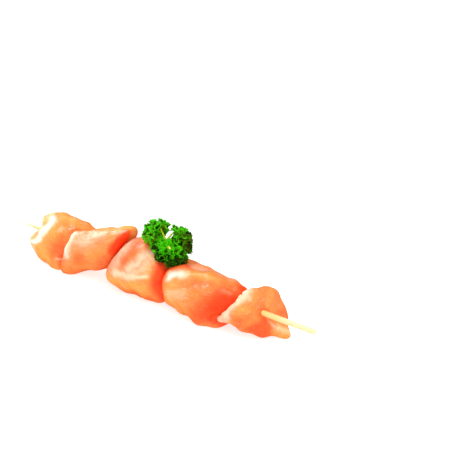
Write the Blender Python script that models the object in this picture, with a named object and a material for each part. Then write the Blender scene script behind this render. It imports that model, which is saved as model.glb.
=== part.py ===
"""A raw chicken kebab: five chunks of breast meat on a pointed bamboo stick, with curly parsley on top.

Metres, +Z up. The stick runs along X with its point at -X. The origin is on the table, straight under the
middle of the stick. Angles round the stick are counted from +Y (the back) towards +Z (up), so 90 degrees
is up, 180 is the front and 270 is down.
"""

import math

import bmesh
import bpy
import numpy as np
from mathutils import Vector

MM = 0.001

# Driving dimensions, in millimetres.
STICK_LENGTH = 200.0
STICK_RADIUS = 1.4
STICK_HEIGHT = 14.0
POINT_LENGTH = 18.0
POINT_RADIUS = 0.2
BLUNT_CHAMFER = 0.25
GRIP_GAP = 0.3
CHUNK_GAP = 0.5

# How finely the chunks are cut into faces.
ANGLE_STEPS = 32
LOOP_STEPS = 19
HOLE_STEPS = 2

# The round-over of a chunk's ends, and how square its section is.
END_FLATNESS = 4.0
SECTION_POWER = 2.35

# Cuts between the chunks, from the pointed end to the blunt end. Each is a leaning surface
# x = at + y_lean * y + z_lean * z, domed by so many millimetres at the stick. Where two chunks are
# pressed together, round one angle, the crease between them is shallow. Pulls draw a part of a cut towards
# the pointed end: (angle, spread before it, spread after it, reach, from and to which radius). The long one
# is the loose flap of the last chunk, which lies over the chunk before it.
CUTS = (
    {
        "at": -79.0, "y_lean": 0.07, "z_lean": 0.28, "dome": -2.5, "pressed": (200.0, 90.0, 3.0),
        "pulls": ((112.0, 20.0, 20.0, 2.2, 5.0, 11.0), (142.0, 17.0, 17.0, -4.0, 4.0, 10.0)),
    },
    {
        "at": -51.5, "y_lean": 0.40, "z_lean": 0.32, "dome": 0.0, "pressed": (242.0, 26.0, 7.0),
        "pulls": ((120.0, 25.0, 24.0, 4.4, 6.0, 12.0), (176.0, 30.0, 34.0, 0.4, 8.5, 12.0)),
    },
    {"at": -26.5, "y_lean": -0.12, "z_lean": 0.70, "dome": 0.0, "pressed": (270.0, 20.0, 0.0), "pulls": ()},
    {"at": 10.5, "y_lean": -0.05, "z_lean": -0.06, "dome": 2.0, "pressed": (245.0, 25.0, 4.0), "pulls": ()},
    {
        "at": 57.5, "y_lean": -0.10, "z_lean": 0.30, "dome": -1.0, "pressed": (270.0, 20.0, 0.0),
        "pulls": ((231.0, 62.0, 8.0, 10.0, 5.0, 10.5),),
    },
    {
        "at": 68.5, "y_lean": 0.48, "z_lean": -0.36, "dome": 1.5, "pressed": (305.0, 40.0, 6.0),
        "pulls": ((304.0, 22.0, 26.0, -3.2, 7.0, 14.0),),
    },
)
DOME_RADIUS = 13.0

# Each chunk: how square its left and right shoulders are, how far it reaches back, up, to the front and
# down from the stick at its left end, middle and right end, and its folds: (share of its length, angle,
# height, length share, angle width, slant).
CHUNKS = (
    {
        "name": "chunk_1",
        "shoulders": (4.5, 2.6),
        "left": (11.5, 12.8, 13.5, 11.5),
        "middle": (12.5, 10.6, 12.5, 16.4),
        "right": (11.5, 11.2, 13.0, 18.0),
        "folds": (
            (0.03, 150.0, 1.5, 0.07, 70.0, 0.0),
            (0.26, 150.0, -0.7, 0.12, 50.0, 0.0),
            (0.12, 65.0, 1.4, 0.14, 30.0, 0.0),
            (0.70, 65.0, -1.9, 0.22, 35.0, 0.0),
            (0.55, 178.0, -0.8, 0.22, 26.0, 0.0),
            (1.00, 228.0, 1.2, 0.30, 26.0, 0.0),
            (0.30, 240.0, 1.0, 0.22, 34.0, 0.0),
            (0.45, 20.0, 1.6, 0.18, 30.0, 0.2),
        ),
    },
    {
        "name": "chunk_2",
        "shoulders": (3.4, 3.1),
        "left": (8.0, 9.8, 12.5, 17.5),
        "middle": (11.5, 13.5, 11.5, 11.0),
        "right": (13.0, 24.5, 10.0, 7.5),
        "folds": (
            (0.05, 165.0, 1.5, 0.12, 50.0, 0.0),
            (0.20, 232.0, 3.0, 0.32, 28.0, 0.0),
            (0.14, 112.0, 1.5, 0.22, 26.0, 0.0),
            (0.45, 150.0, 1.0, 0.16, 45.0, 0.0),
            (0.50, 66.0, 1.7, 0.36, 30.0, 0.0),
            (0.60, 350.0, 1.5, 0.20, 28.0, 0.1),
        ),
    },
    {
        "name": "chunk_3",
        "shoulders": (4.4, 2.4),
        "left": (12.0, 17.8, 12.0, 12.5),
        "middle": (12.5, 14.2, 12.5, 15.0),
        "right": (12.5, 13.5, 11.2, 14.4),
        "folds": (
            (0.32, 135.0, -1.4, 0.22, 30.0, 0.12),
            (0.50, 188.0, 1.4, 0.36, 22.0, 0.0),
            (0.10, 160.0, 1.2, 0.08, 40.0, 0.08),
            (0.58, 122.0, 1.0, 0.10, 30.0, 0.18),
            (0.55, 15.0, -1.6, 0.12, 50.0, 0.2),
            (0.00, 236.0, -2.4, 0.16, 26.0, 0.0),
            (0.80, 236.0, -1.0, 0.24, 26.0, 0.0),
        ),
    },
    {
        "name": "chunk_4",
        "shoulders": (3.0, 2.4),
        "left": (13.0, 12.0, 12.6, 13.8),
        "middle": (11.0, 10.0, 13.2, 14.8),
        "right": (10.5, 10.0, 12.0, 14.0),
        "folds": (
            (0.22, 62.0, 1.7, 0.18, 22.0, 0.0),
            (0.44, 62.0, -1.0, 0.10, 24.0, 0.0),
            (0.20, 88.0, -0.3, 0.14, 14.0, -0.10),
            (0.22, 116.0, 0.8, 0.20, 22.0, -0.30),
            (0.78, 232.0, 2.0, 0.20, 22.0, 0.0),
            (0.30, 236.0, -1.0, 0.20, 24.0, 0.0),
            (0.45, 170.0, 0.9, 0.30, 40.0, 0.0),
            (0.40, 340.0, 1.4, 0.15, 35.0, 0.2),
        ),
    },
    {
        "name": "chunk_5",
        "shoulders": (4.4, 4.4),
        "left": (9.0, 7.8, 10.0, 8.8),
        "middle": (12.0, 10.6, 11.0, 11.2),
        "right": (13.5, 12.0, 10.5, 11.6),
        "folds": (
            (0.05, 165.0, 0.8, 0.12, 60.0, 0.0),
            (0.00, 221.0, 3.2, 0.35, 13.0, 0.0),
            (0.95, 303.0, 4.6, 0.40, 16.0, 0.0),
            (0.40, 240.0, -2.0, 0.34, 22.0, 0.0),
            (0.95, 273.0, 1.8, 0.30, 15.0, 0.0),
            (0.95, 322.0, -0.9, 0.40, 9.0, 0.0),
            (0.95, 346.0, 0.4, 0.40, 14.0, 0.0),
            (0.60, 70.0, -0.7, 0.40, 34.0, 0.0),
        ),
    },
)

# Slow lumps over the whole meat: (waves round the stick, waves in 100 mm along it, height).
LUMPS = ((2, 3.1, 0.45), (3, -5.3, 0.40), (5, 7.9, 0.30), (7, -11.7, 0.18))

# The parsley: where it sits, and its rings of leaflets (number, tilt from the sprig's own axis, length).
SPRIG_X = 6.0
SPRIG_ANGLE = 90.0
SPRIG_LIFT = 6.4
CROWN_RADIUS = 4.0
LEAF_RINGS = ((3, 26.0, 10.0), (5, 58.0, 12.5), (8, 90.0, 14.0))
LEAF_FAN = 190.0
LEAF_THICKNESS = 0.8
LEAF_RUFFLE = 1.9
LEAF_WAVES = 3
LEAF_CELLS = (10, 3)
LEAF_BASE = 2.6
LEAF_UNEVEN = {"turn": 14.0, "tilt": 10.0, "length": 0.16}
REST_GAP = 0.9

GOLDEN = 0.6180339887


def mix(a, b, share):
    return a + (b - a) * share


def smooth_step(value, low, high):
    share = np.clip((value - low) / (high - low), 0.0, 1.0)
    return share * share * (3.0 - 2.0 * share)


def angle_between(angle, middle):
    """The signed way from middle to angle, in degrees, between -180 and 180."""
    return (angle - middle + 180.0) % 360.0 - 180.0


def cut_x(index, radius, angle):
    """Where a cut lies along the stick, at a distance from the stick and an angle round it."""
    cut = CUTS[index]
    turn = np.radians(angle)
    y, z = radius * np.cos(turn), radius * np.sin(turn)
    x = cut["at"] + cut["y_lean"] * y + cut["z_lean"] * z
    x = x + cut["dome"] * np.clip(1.0 - (radius / DOME_RADIUS) ** 2, 0.0, 1.0)
    for middle, before, after, reach, from_radius, to_radius in cut["pulls"]:
        way = angle_between(angle, middle)
        side = np.exp(-((way / np.where(way < 0.0, before, after)) ** 2))
        x = x - reach * side * smooth_step(radius, from_radius, to_radius)
    return x


def shoulder_power(index, share, angle):
    """How square chunk number index is at the shoulder that this share of its length is nearer to."""
    powers = []
    for shoulder, cut in zip(CHUNKS[index]["shoulders"], CUTS[index : index + 2]):
        middle, width, extra = cut["pressed"]
        powers.append(shoulder + extra * np.exp(-((angle_between(angle, middle) / width) ** 2)))
    return np.where(share < 0.5, *powers)


def round_over(index, way, angle):
    """The share and fullness of a point way (0 to pi) round the loop from a chunk's left end to its right."""
    along, outward = np.cos(way), np.sin(way)
    power = shoulder_power(index, (1.0 - along) / 2.0, angle)
    low, high = np.full(power.shape, 0.9), np.full(power.shape, 1.5)
    for _ in range(24):
        reach = (low + high) / 2.0
        inside = np.abs(reach * along) ** power + (reach * outward) ** END_FLATNESS < 1.0
        low, high = np.where(inside, reach, low), np.where(inside, high, reach)
    return (1.0 - low * along) / 2.0, low * outward


def section_radius(angle, reaches):
    """A rounded section with its own reach to the back, up, to the front and down."""
    back, up, front, down = reaches
    turn = np.radians(angle)
    y, z = np.cos(turn), np.sin(turn)
    across = np.where(y > 0.0, back, front)
    height = np.where(z > 0.0, up, down)
    total = np.abs(y / across) ** SECTION_POWER + np.abs(z / height) ** SECTION_POWER
    return total ** (-1.0 / SECTION_POWER)


def lumps(x, angle):
    total = 0.0
    for number, (round_waves, long_waves, height) in enumerate(LUMPS):
        start = 2.0 * math.pi * GOLDEN * (number + 1)
        total = total + height * np.cos(
            round_waves * np.radians(angle) + 2.0 * math.pi * long_waves * x / 100.0 + start
        )
    return total


def full_radius(chunk, x, share, angle):
    """The chunk's outer radius at a share of its length, before its ends are rounded over."""
    left = section_radius(angle, chunk["left"])
    middle = section_radius(angle, chunk["middle"])
    right = section_radius(angle, chunk["right"])
    radius = (
        left * (1.0 - share) * (1.0 - 2.0 * share)
        + middle * 4.0 * share * (1.0 - share)
        + right * share * (2.0 * share - 1.0)
    )
    for along, middle_angle, height, length, width, slant in chunk["folds"]:
        way = angle_between(angle, middle_angle)
        shift = share - along - slant * way / width
        radius = radius + height * np.exp(-((shift / length) ** 2) - (way / width) ** 2)
    return radius + lumps(x, angle)


def on_table(radius, angle):
    """Cuts the radius where the meat lies flat on the table."""
    down = -np.sin(np.radians(angle))
    room = STICK_HEIGHT / np.maximum(down, 1e-6)
    return np.where(down > 0.0, np.minimum(radius, room), radius)


def chunk_surface(index, share, fullness, angle):
    """Points of a chunk: share runs along it, fullness from the stick's hole (0) to its skin (1)."""
    chunk = CHUNKS[index]
    hole = STICK_RADIUS + GRIP_GAP
    radius = np.full(np.broadcast(share, angle).shape, 12.0)
    for _ in range(3):
        left = cut_x(index, radius, angle) + CHUNK_GAP / 2.0
        right = cut_x(index + 1, radius, angle) - CHUNK_GAP / 2.0
        x = mix(left, right, share)
        outer = full_radius(chunk, x, share, angle)
        radius = on_table(mix(hole, outer, fullness), angle)
    left = cut_x(index, radius, angle) + CHUNK_GAP / 2.0
    right = cut_x(index + 1, radius, angle) - CHUNK_GAP / 2.0
    x = mix(left, right, share)
    turn = np.radians(angle)
    return np.stack([x, radius * np.cos(turn), STICK_HEIGHT + radius * np.sin(turn)], axis=-1)


def meat_radius(x, angle):
    """How far the meat reaches from the stick's axis at a place along it and an angle round it."""
    hole = STICK_RADIUS + GRIP_GAP
    widest = np.full(np.broadcast(x, angle).shape, STICK_RADIUS)
    for index, chunk in enumerate(CHUNKS):
        radius = np.full(widest.shape, 12.0)
        inside = np.zeros(widest.shape, bool)
        for _ in range(6):
            left, right = cut_x(index, radius, angle), cut_x(index + 1, radius, angle)
            share = (x - left) / (right - left)
            inside = (share > 0.0) & (share < 1.0)
            share = np.clip(share, 0.0, 1.0)
            power = shoulder_power(index, share, angle)
            fullness = (1.0 - np.abs(2.0 * share - 1.0) ** power) ** (1.0 / END_FLATNESS)
            found = on_table(mix(hole, full_radius(chunk, x, share, angle), fullness), angle)
            radius = mix(radius, found, 0.6)
        widest = np.where(inside, np.maximum(widest, radius), widest)
    return widest


def material(name, colour, roughness):
    made = bpy.data.materials.new(name)
    made.use_nodes = True
    shader = made.node_tree.nodes["Principled BSDF"]
    shader.inputs["Base Color"].default_value = (*colour, 1.0)
    shader.inputs["Roughness"].default_value = roughness
    shader.inputs["Metallic"].default_value = 0.0
    made.diffuse_color = (*colour, 1.0)
    return made


def mesh_object(name, points, faces, look):
    mesh = bpy.data.meshes.new(name)
    mesh.from_pydata([Vector(p) * MM for p in points], [], faces)
    mesh.validate()
    mesh.shade_smooth()
    made = bpy.data.objects.new(name, mesh)
    made.data.materials.append(look)
    bpy.context.scene.collection.objects.link(made)
    return made


def closed_ring_faces(rings, steps):
    """Quads of a grid that closes on itself both ways, its faces pointing out."""
    faces = []
    for i in range(rings):
        for j in range(steps):
            a, b = i * steps + j, i * steps + (j + 1) % steps
            c, d = ((i + 1) % rings) * steps + (j + 1) % steps, ((i + 1) % rings) * steps + j
            faces.append((a, b, c, d))
    return faces


def build_chunk(index, look):
    """One chunk: loops from its left end over the skin to its right, and back through the stick's hole."""
    angle = np.arange(ANGLE_STEPS)[None, :] * 360.0 / ANGLE_STEPS
    way = np.linspace(0.0, math.pi, LOOP_STEPS)[:, None]
    share, fullness = round_over(index, way, angle)
    back = np.linspace(1.0, 0.0, HOLE_STEPS + 2)[1:-1, None] + 0.0 * angle
    share = np.concatenate([share, back])
    fullness = np.concatenate([np.maximum(fullness, 0.0), 0.0 * back])
    points = chunk_surface(index, share, fullness, angle)
    faces = closed_ring_faces(len(share), ANGLE_STEPS)
    return mesh_object(CHUNKS[index]["name"], points.reshape(-1, 3), faces, look)


def build_stick(look):
    """A turned stick: long taper to the point on the left, a small chamfer at the blunt right end."""
    half = STICK_LENGTH / 2.0
    profile = (
        (-half, 0.0),
        (-half, POINT_RADIUS),
        (-half + POINT_LENGTH * 0.33, STICK_RADIUS * 0.41),
        (-half + POINT_LENGTH * 0.67, STICK_RADIUS * 0.73),
        (-half + POINT_LENGTH, STICK_RADIUS),
        (0.0, STICK_RADIUS),
        (half - BLUNT_CHAMFER, STICK_RADIUS),
        (half, STICK_RADIUS - BLUNT_CHAMFER),
        (half, 0.0),
    )
    form = bmesh.new()
    ring = [form.verts.new(Vector((x, radius, 0.0)) * MM) for x, radius in profile]
    edges = [form.edges.new(pair) for pair in zip(ring, ring[1:])]
    bmesh.ops.spin(
        form, geom=ring + edges, cent=(0.0, 0.0, 0.0), axis=(1.0, 0.0, 0.0), angle=2.0 * math.pi, steps=16
    )
    bmesh.ops.remove_doubles(form, verts=form.verts, dist=1e-6)
    bmesh.ops.recalc_face_normals(form, faces=form.faces)
    mesh = bpy.data.meshes.new("stick")
    form.to_mesh(mesh)
    form.free()
    mesh.shade_smooth()
    mesh.set_sharp_from_angle(angle=math.radians(40.0))
    made = bpy.data.objects.new("stick", mesh)
    made.data.materials.append(look)
    made.location = (0.0, 0.0, STICK_HEIGHT * MM)
    bpy.context.scene.collection.objects.link(made)
    return made


def sprig_frame():
    """The sprig's middle and its own three directions: along the stick, sideways, and out from the meat."""
    turn = math.radians(SPRIG_ANGLE)
    out = np.array([0.0, math.cos(turn), math.sin(turn)])
    along = np.array([1.0, 0.0, 0.0])
    side = np.cross(out, along)
    reach = float(meat_radius(np.array(SPRIG_X), np.array(SPRIG_ANGLE))) + SPRIG_LIFT
    middle = np.array([SPRIG_X, 0.0, STICK_HEIGHT]) + out * reach
    return middle, along, side, out


def lay_on_meat(points, clearance):
    """Pushes points straight out from the stick until they are clear of the meat."""
    y, z = points[..., 1], points[..., 2] - STICK_HEIGHT
    radius, angle = np.hypot(y, z), np.degrees(np.arctan2(z, y)) % 360.0
    least = meat_radius(points[..., 0], angle) + clearance
    grown = np.maximum(radius, least) / np.maximum(radius, 1e-6)
    laid = points.copy()
    laid[..., 1], laid[..., 2] = y * grown, z * grown + STICK_HEIGHT
    return laid


def leaf_points(number, around, tilt, length, across, outward):
    """One ruffled leaflet: a fan across its width (0 to 1) and outward from its base (0 to 1)."""
    middle, along, side, out = sprig_frame()
    flat = math.cos(around) * along + math.sin(around) * side
    heading = math.cos(tilt) * out + math.sin(tilt) * flat
    beside = np.cross(out, flat)
    face = np.cross(heading, beside)
    fan = np.radians(LEAF_FAN) * (across - 0.5)
    start = 2.0 * math.pi * GOLDEN * number
    reach = length * outward * (1.0 - 0.18 * np.abs(2.0 * across - 1.0) ** 2)
    ruffle = LEAF_RUFFLE * outward**1.4 * np.sin(2.0 * math.pi * LEAF_WAVES * across + start)
    curl = -0.22 * length * outward**2
    return (
        middle
        + LEAF_BASE * heading
        + (reach * np.cos(fan))[..., None] * heading * 0.8
        + (reach * np.sin(fan))[..., None] * beside * 0.62
        + (ruffle + curl)[..., None] * face
    )


def build_leaf(number, around, tilt, length, look):
    """A leaflet as a thin wavy solid: a split grid, thickened to both sides."""
    wide, deep = LEAF_CELLS
    across = np.linspace(0.0, 1.0, wide + 1)[None, :]
    outward = np.linspace(0.12, 1.0, deep + 1)[:, None]
    points = leaf_points(number, around, tilt, length, across, outward)
    points = lay_on_meat(points, REST_GAP + LEAF_THICKNESS / 2.0)
    faces = []
    for i in range(deep):
        for j in range(wide):
            a = i * (wide + 1) + j
            b, c, d = a + 1, a + wide + 2, a + wide + 1
            faces += [(a, b, c), (a, c, d)]
    leaf = mesh_object(f"leaf_{number}", points.reshape(-1, 3), faces, look)
    solid = leaf.modifiers.new("Thickness", "SOLIDIFY")
    solid.thickness = LEAF_THICKNESS * MM
    solid.offset = 0.0
    return leaf


def build_crown(look):
    """The hidden heart of the sprig, where its stalks meet."""
    middle, _, _, _ = sprig_frame()
    form = bmesh.new()
    bmesh.ops.create_icosphere(form, subdivisions=2, radius=CROWN_RADIUS * MM)
    bmesh.ops.translate(form, verts=form.verts, vec=Vector(middle) * MM)
    mesh = bpy.data.meshes.new("parsley")
    form.to_mesh(mesh)
    form.free()
    made = bpy.data.objects.new("parsley", mesh)
    made.data.materials.append(look)
    bpy.context.scene.collection.objects.link(made)
    return made


def keep_outer_shell(mesh):
    """Fills the hollows that the union sealed and drops its loose scraps: only the largest shell stays."""
    form = bmesh.new()
    form.from_mesh(mesh)
    form.faces.ensure_lookup_table()
    left = set(form.faces)
    shells = []
    while left:
        shell, edge = set(), {left.pop()}
        while edge:
            face = edge.pop()
            shell.add(face)
            found = {other for line in face.edges for other in line.link_faces} & left
            left -= found
            edge |= found
        shells.append(shell)
    shells.sort(key=len)
    scraps = [face for shell in shells[:-1] for face in shell]
    bmesh.ops.delete(form, geom=scraps, context="FACES")
    form.to_mesh(mesh)
    form.free()


def uneven(number, step):
    """A value between -1 and 1 that differs from leaflet to leaflet without repeating."""
    return math.sin(2.0 * math.pi * GOLDEN * step * (number + 1))


def build_parsley(look):
    """The sprig: rings of leaflets joined to the crown by one union."""
    crown = build_crown(look)
    leaves = bpy.data.collections.new("leaves")
    bpy.context.scene.collection.children.link(leaves)
    number = 0
    for count, tilt, length in LEAF_RINGS:
        for place in range(count):
            around = 360.0 * (place + 0.5 * (count % 4)) / count + LEAF_UNEVEN["turn"] * uneven(number, 1)
            lean = tilt + LEAF_UNEVEN["tilt"] * uneven(number, 2)
            reach = length * (1.0 + LEAF_UNEVEN["length"] * uneven(number, 3))
            leaf = build_leaf(number, math.radians(around), math.radians(lean), reach, look)
            bpy.context.scene.collection.objects.unlink(leaf)
            leaves.objects.link(leaf)
            number += 1
    union = crown.modifiers.new("Union", "BOOLEAN")
    union.operation = "UNION"
    union.operand_type = "COLLECTION"
    union.collection = leaves
    union.solver = "EXACT"
    union.use_self = True
    bpy.context.view_layer.objects.active = crown
    bpy.ops.object.modifier_apply(modifier=union.name)
    for leaf in list(leaves.objects):
        bpy.data.objects.remove(leaf)
    bpy.data.collections.remove(leaves)
    keep_outer_shell(crown.data)
    return crown


def main():
    for old in list(bpy.data.objects):
        bpy.data.objects.remove(old)
    raw_meat = material("raw_chicken", (0.90, 0.38, 0.22), 0.32)
    bamboo = material("bamboo", (0.82, 0.66, 0.36), 0.55)
    leaf_green = material("parsley_leaf", (0.07, 0.30, 0.03), 0.45)
    for index in range(len(CHUNKS)):
        build_chunk(index, raw_meat)
    build_stick(bamboo)
    build_parsley(leaf_green)


if __name__ == "__main__":
    main()
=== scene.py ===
# A raw chicken kebab: five chunks of breast meat pushed together on a bamboo stick, with curly parsley on
# top. Shapes are worked out in millimetres and made in metres, +Z up. The stick runs along X. Angles round
# it are in degrees from +Y: 0 is the back, 90 the top, 180 the front and 270 the underside.

import itertools
import math

import bpy
import numpy as np
from mathutils import Matrix, Vector


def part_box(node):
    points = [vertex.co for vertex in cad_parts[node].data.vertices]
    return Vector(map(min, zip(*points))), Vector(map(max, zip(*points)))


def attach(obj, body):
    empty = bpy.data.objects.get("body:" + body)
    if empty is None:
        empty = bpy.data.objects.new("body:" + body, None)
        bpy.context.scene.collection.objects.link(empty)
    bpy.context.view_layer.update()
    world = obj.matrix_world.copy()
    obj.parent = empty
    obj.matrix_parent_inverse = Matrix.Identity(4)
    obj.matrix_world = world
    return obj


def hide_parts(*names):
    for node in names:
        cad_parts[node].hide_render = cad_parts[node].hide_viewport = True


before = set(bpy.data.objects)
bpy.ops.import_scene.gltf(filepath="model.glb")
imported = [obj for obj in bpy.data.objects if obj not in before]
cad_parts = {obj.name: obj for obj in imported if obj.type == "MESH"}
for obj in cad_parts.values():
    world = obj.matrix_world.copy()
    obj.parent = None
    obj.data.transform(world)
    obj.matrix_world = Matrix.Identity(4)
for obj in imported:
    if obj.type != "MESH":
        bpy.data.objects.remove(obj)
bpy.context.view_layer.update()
print("frame loaded with", ", ".join(sorted(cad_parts)))

mm = 0.001
goldenShare = 0.6180339887

stickLow, stickHigh = (np.array(corner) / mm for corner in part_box("stick"))
stickHeight = (stickLow[2] + stickHigh[2]) / 2  # of its axis, over the table
stickRadius = (stickHigh[1] - stickLow[1]) / 2


# Small helpers for arrays

def mix(a, b, share):
    return a + (b - a) * share


def smoothStep(value, low, high):
    share = np.clip((value - low) / (high - low), 0, 1)
    return share * share * (3 - 2 * share)


def bell(value, middle, width):
    return np.exp(-(((value - middle) / width) ** 2))


# The signed way from one angle to another, between -180 and 180 degrees.
def turnFrom(middle, angle):
    return (angle - middle + 180) % 360 - 180


# Smooth noise between -1 and 1: random values on a lattice that repeats every 32 cells, blended between the
# eight nearest by 6t^5 - 15t^4 + 10t^3. The cell size is one number, or one for each axis.
def softNoise(points, cellSize, seed):
    lattice = np.random.default_rng(seed).uniform(-1, 1, (32, 32, 32))
    place = points / np.asarray(cellSize, float)
    cell = np.floor(place).astype(int)
    part = place - cell
    part = part**3 * (part * (part * 6 - 15) + 10)
    total = np.zeros(points.shape[:-1])
    for corner in itertools.product((0, 1), repeat=3):
        weight = np.prod(np.where(corner, part, 1 - part), axis=-1)
        i, j, k = np.moveaxis((cell + corner) % 32, -1, 0)
        total += weight * lattice[i, j, k]
    return total


# Layers of soft noise added up: each is its cell size, height and seed.
def layeredNoise(points, layers):
    return sum(height * softNoise(points, size, seed) for size, height, seed in layers)


# Mesh making from grids

# Quads between each point of a grid and the next one along and across, closed on itself where asked.
def gridFaces(rows, columns, closedRows=False, closedColumns=False):
    i = np.arange(rows if closedRows else rows - 1)[:, None]
    j = np.arange(columns if closedColumns else columns - 1)[None, :]
    nextI, nextJ = (i + 1) % rows, (j + 1) % columns
    corners = (i * columns + j, i * columns + nextJ, nextI * columns + nextJ, nextI * columns + j)
    return np.stack(np.broadcast_arrays(*corners), axis=-1).reshape(-1, 4)


def makePiece(name, points, faces, look, pointValues, uvs=None):
    mesh = bpy.data.meshes.new(name)
    points = points.reshape(-1, 3)
    mesh.vertices.add(len(points))
    mesh.vertices.foreach_set("co", (points * mm).astype(np.float32).ravel())
    mesh.loops.add(faces.size)
    mesh.loops.foreach_set("vertex_index", faces.astype(np.int32).ravel())
    mesh.polygons.add(len(faces))
    mesh.polygons.foreach_set("loop_start", np.arange(0, faces.size, 4, dtype=np.int32))
    mesh.update(calc_edges=True)
    for key, values in pointValues.items():
        vector = values.shape[-1] == 3
        layer = mesh.attributes.new(key, "FLOAT_VECTOR" if vector else "FLOAT", "POINT")
        layer.data.foreach_set("vector" if vector else "value", values.astype(np.float32).ravel())
    if uvs is not None:
        layer = mesh.uv_layers.new(name="leafMap")
        layer.data.foreach_set("uv", uvs.reshape(-1, 2)[faces.ravel()].astype(np.float32).ravel())
    mesh.shade_smooth()
    mesh.materials.append(look)
    piece = bpy.data.objects.new(name, mesh)
    bpy.context.scene.collection.objects.link(piece)
    return piece


def settle(piece, node):
    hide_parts(node)
    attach(piece, "root")


# Material helpers

def newLook(name):
    look = bpy.data.materials.new(name)
    look.use_nodes = True
    return look, look.node_tree, look.node_tree.nodes["Principled BSDF"]


def addNode(tree, kind, **settings):
    node = tree.nodes.new(kind)
    for key, value in settings.items():
        setattr(node, key, value)
    return node


# Puts a value or another node's output into a socket.
def plug(tree, socket, source):
    if isinstance(source, bpy.types.NodeSocket):
        tree.links.new(source, socket)
    else:
        socket.default_value = source


def compute(tree, operation, a, b=0.5, clamp=False):
    node = addNode(tree, "ShaderNodeMath", operation=operation, use_clamp=clamp)
    plug(tree, node.inputs[0], a)
    plug(tree, node.inputs[1], b)
    return node.outputs[0]


def times(tree, a, b, clamp=False):
    return compute(tree, "MULTIPLY", a, b, clamp)


def plus(tree, a, b):
    return compute(tree, "ADD", a, b)


def minus(tree, a, b, clamp=False):
    return compute(tree, "SUBTRACT", a, b, clamp)


def blendColour(tree, share, a, b):
    node = addNode(tree, "ShaderNodeMix", data_type="RGBA")
    plug(tree, node.inputs[0], share)
    plug(tree, node.inputs[6], a)
    plug(tree, node.inputs[7], b)
    return node.outputs[2]


def remap(tree, value, fromLow, fromHigh, toLow=0.0, toHigh=1.0):
    node = addNode(tree, "ShaderNodeMapRange", interpolation_type="SMOOTHSTEP")
    for socket, source in zip(node.inputs, (value, fromLow, fromHigh, toLow, toHigh)):
        plug(tree, socket, source)
    return node.outputs[0]


def attribute(tree, name, output="Fac"):
    return addNode(tree, "ShaderNodeAttribute", attribute_name=name).outputs[output]


def setSockets(node, values):
    for name, value in values.items():
        node.inputs[name].default_value = value


# Roughness from low to high by a share, and a bump of some strength and distance by a height.
def finishSurface(tree, shader, settings, share, height):
    low, high = settings["roughness"]
    plug(tree, shader.inputs["Roughness"], remap(tree, share, 0.0, 1.0, low, high))
    bump = addNode(tree, "ShaderNodeBump")
    bump.inputs["Strength"].default_value, bump.inputs["Distance"].default_value = settings["bump"]
    plug(tree, bump.inputs["Height"], height)
    plug(tree, shader.inputs["Normal"], bump.outputs[0])


# A node group that reads Vector and named numbers, given with their defaults, and puts out named shares.
def newGroup(name, numbers, outputs):
    group = bpy.data.node_groups.new(name, "ShaderNodeTree")
    group.interface.new_socket(name="Vector", in_out="INPUT", socket_type="NodeSocketVector")
    for label, default in numbers.items():
        socket = group.interface.new_socket(name=label, in_out="INPUT", socket_type="NodeSocketFloat")
        socket.default_value = default
    for label in outputs:
        group.interface.new_socket(name=label, in_out="OUTPUT", socket_type="NodeSocketFloat")
    return group, group.nodes.new("NodeGroupInput"), group.nodes.new("NodeGroupOutput")


# Long thin streaks along the first axis of Vector, Length by Width in Vector's own units. Streaks is 0 to
# 1, and Lines is 1 on the thin lines where neighbouring streaks meet.
def makeStreaksGroup():
    numbers = {"Length": 10.0, "Width": 1.0, "Wander": 0.3}
    group, source, result = newGroup("streaks", numbers, ("Streaks", "Lines"))
    scale = addNode(group, "ShaderNodeCombineXYZ")
    plug(group, scale.inputs[0], compute(group, "DIVIDE", 1.0, source.outputs["Length"]))
    across = compute(group, "DIVIDE", 1.0, source.outputs["Width"])
    plug(group, scale.inputs[1], across)
    plug(group, scale.inputs[2], across)
    place = addNode(group, "ShaderNodeVectorMath", operation="MULTIPLY")
    plug(group, place.inputs[0], source.outputs["Vector"])
    plug(group, place.inputs[1], scale.outputs[0])
    noise = addNode(group, "ShaderNodeTexNoise", noise_dimensions="3D")
    plug(group, noise.inputs["Vector"], place.outputs[0])
    setSockets(noise, {"Scale": 1.0, "Detail": 2.0})
    plug(group, noise.inputs["Distortion"], source.outputs["Wander"])
    fromMiddle = compute(group, "ABSOLUTE", minus(group, noise.outputs[0], 0.5))
    plug(group, result.inputs["Streaks"], remap(group, noise.outputs[0], 0.36, 0.64))
    plug(group, result.inputs["Lines"], remap(group, fromMiddle, 0.0, 0.035, 1.0, 0.0))
    return group


# Soft uneven patches of about Size, in Vector's own units, as a share from 0 to 1.
def makePatchesGroup():
    group, source, result = newGroup("patches", {"Size": 5.0, "Detail": 2.0}, ("Patches",))
    noise = addNode(group, "ShaderNodeTexNoise", noise_dimensions="3D")
    plug(group, noise.inputs["Vector"], source.outputs["Vector"])
    plug(group, noise.inputs["Scale"], compute(group, "DIVIDE", 1.0, source.outputs["Size"]))
    plug(group, noise.inputs["Detail"], source.outputs["Detail"])
    plug(group, result.inputs["Patches"], remap(group, noise.outputs[0], 0.34, 0.66))
    return group


streaksGroup = makeStreaksGroup()
patchesGroup = makePatchesGroup()


def useGroup(tree, group, vector, **values):
    node = addNode(tree, "ShaderNodeGroup", node_tree=group)
    plug(tree, node.inputs["Vector"], vector)
    setSockets(node, values)
    return node.outputs


# Raw meat

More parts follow.
